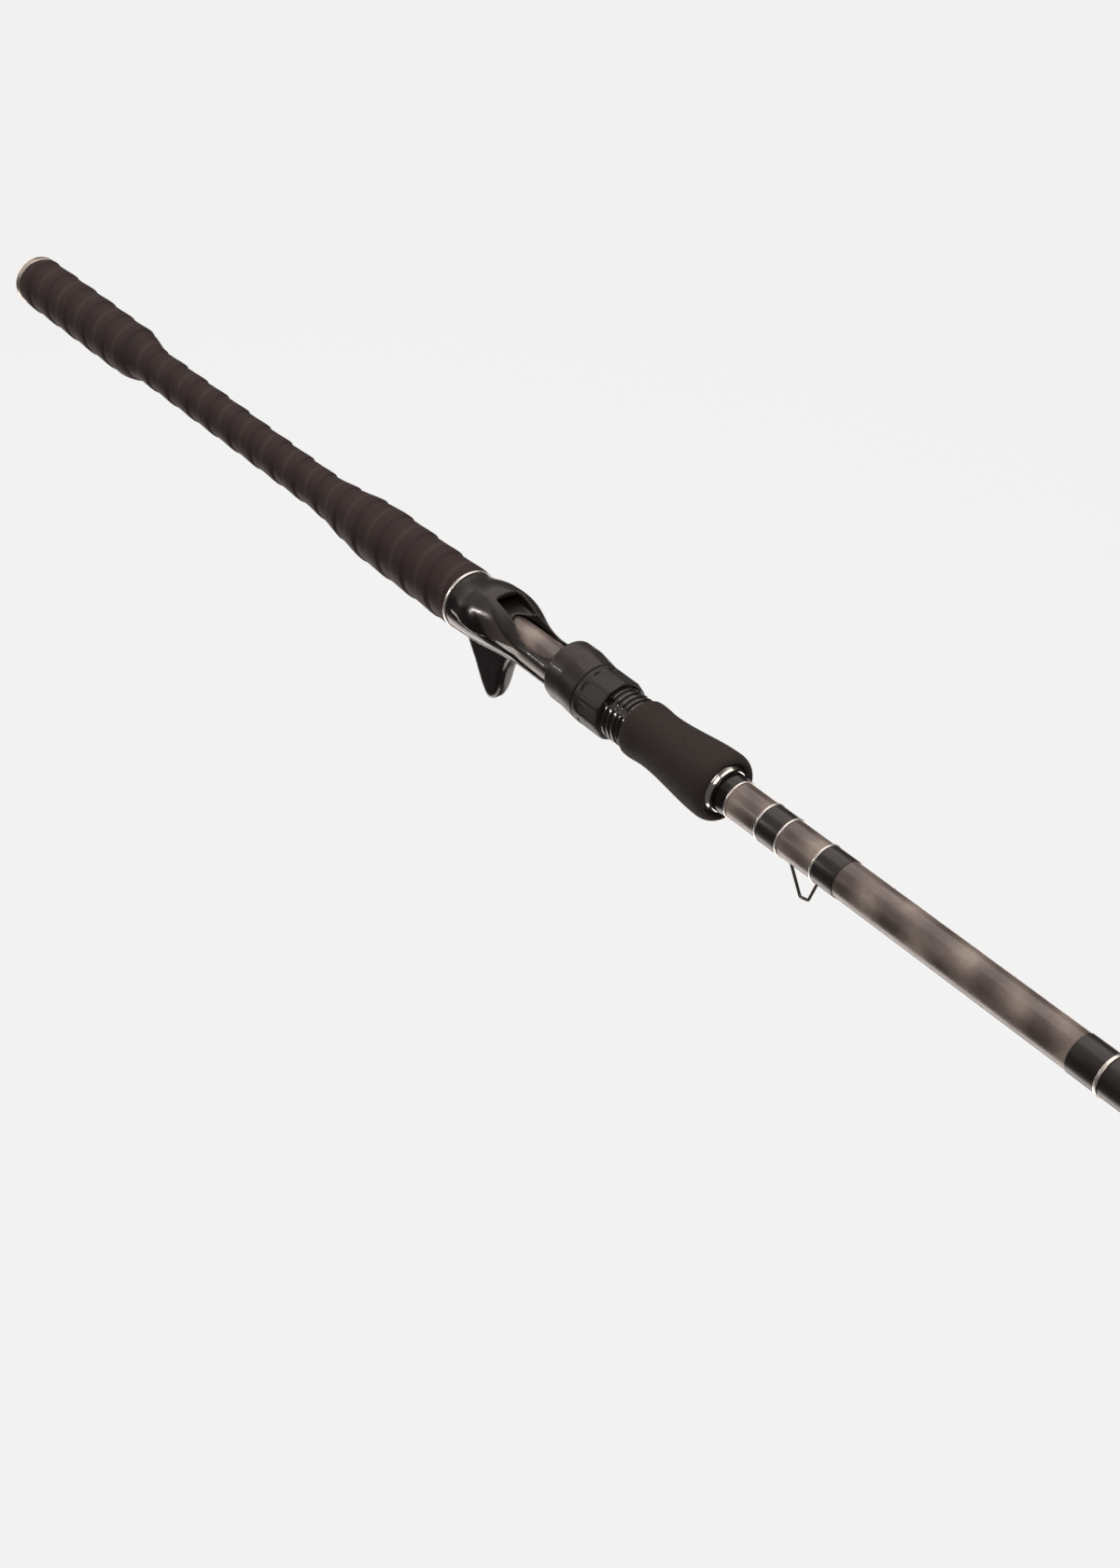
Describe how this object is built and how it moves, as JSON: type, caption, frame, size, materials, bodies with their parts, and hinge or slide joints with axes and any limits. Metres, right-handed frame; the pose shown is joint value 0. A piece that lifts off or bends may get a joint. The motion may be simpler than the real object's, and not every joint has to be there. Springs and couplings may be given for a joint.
{
  "type": "fishing rod",
  "caption": "Two-piece trigger-grip casting rod: wrapped rear grip, screw-locked reel seat, foam fore grip, hook keeper, ringed guides.",
  "frame": {"origin": "centre of the butt cap's rear face, on the rod's axis", "axes": "+X along the rod from butt to tip, +Z towards the reel side, the trigger hangs towards -Z"},
  "size_m": [2.1383, 0.0336, 0.0747],
  "materials": {
    "cap_metal": "satin anodised champagne silver",
    "black_rubber": "matte",
    "foam": "closed-cell foam, matte",
    "grip_wrap": "matte wrap, overlapping turns",
    "silver_trim": "bright metallic winding under clear coat",
    "seat_plastic": "gloss black reinforced nylon",
    "liner_plastic": "matte",
    "arbor_foam": "matte",
    "bright_metal": "polished",
    "black_metal": "gloss black anodised",
    "blank_carbon": "satin carbon laminate with clear coat",
    "thread_wrap": "thread under gloss epoxy",
    "wire": "dark stainless wire",
    "guide_metal": "dark polished stainless",
    "guide_ceramic": "polished"
  },
  "bodies": {
    "handle": {"butt_cap": "cap_metal", "butt_cap_seal": "black_rubber", "rear_grip_butt": "foam", "rear_grip_waist": "foam", "rear_grip_shoulder": "foam", "rear_grip_wrap": "grip_wrap", "rear_winding_ring": "silver_trim", "reel_seat": "seat_plastic", "fixed_hood_liner": "liner_plastic", "seat_arbor_rear": "arbor_foam", "seat_arbor_front": "arbor_foam", "fore_grip": "foam", "fore_check_flange": "bright_metal", "fore_check_sleeve": "black_metal", "trim_ring_1": "silver_trim", "trim_ring_2": "silver_trim", "trim_ring_3": "silver_trim", "trim_ring_4": "silver_trim", "keeper_wrap_rear": "thread_wrap", "keeper_wrap_front": "thread_wrap", "hook_keeper": "wire", "handle_blank": "blank_carbon", "ferrule_wrap": "thread_wrap", "ferrule_ring": "silver_trim"},
    "hood": {"movable_hood": "seat_plastic", "movable_hood_liner": "liner_plastic"},
    "nut": {"lock_nut": "seat_plastic"},
    "tip_section": {"ferrule_spigot": "blank_carbon", "tip_blank": "blank_carbon", "tip_ferrule_wrap": "thread_wrap", "guide_1_frame": "guide_metal", "guide_1_ring": "guide_ceramic", "guide_1_wraps": "thread_wrap", "guide_2_frame": "guide_metal", "guide_2_ring": "guide_ceramic", "guide_2_wraps": "thread_wrap", "guide_3_frame": "guide_metal", "guide_3_ring": "guide_ceramic", "guide_3_wraps": "thread_wrap", "guide_4_frame": "guide_metal", "guide_4_ring": "guide_ceramic", "guide_4_wraps": "thread_wrap", "guide_5_frame": "guide_metal", "guide_5_ring": "guide_ceramic", "guide_5_wraps": "thread_wrap", "guide_6_frame": "guide_metal", "guide_6_ring": "guide_ceramic", "guide_6_wraps": "thread_wrap", "guide_7_frame": "guide_metal", "guide_7_ring": "guide_ceramic", "guide_7_wraps": "thread_wrap", "guide_8_frame": "guide_metal", "guide_8_ring": "guide_ceramic", "guide_8_wraps": "thread_wrap", "tip_top": "guide_metal", "tip_top_ring": "guide_ceramic"}
  },
  "joints": [
    {"name": "hood_slide", "type": "slide", "parent": "handle", "child": "hood", "axis": [1, 0, 0], "range_m": [-0.009, 0.012]},
    {"name": "nut_turn", "type": "hinge", "parent": "hood", "child": "nut", "pos_m": [0.48, 0, 0], "axis": [1, 0, 0], "range_deg": [-1081, 1441]},
    {"name": "ferrule_slide", "type": "slide", "parent": "handle", "child": "tip_section", "axis": [1, 0, 0], "range_m": [0, 0.08]}
  ],
  "couplings": [
    {"joint": "nut_turn", "follows": "hood_slide", "rad_per_m": 2094.4}
  ]
}
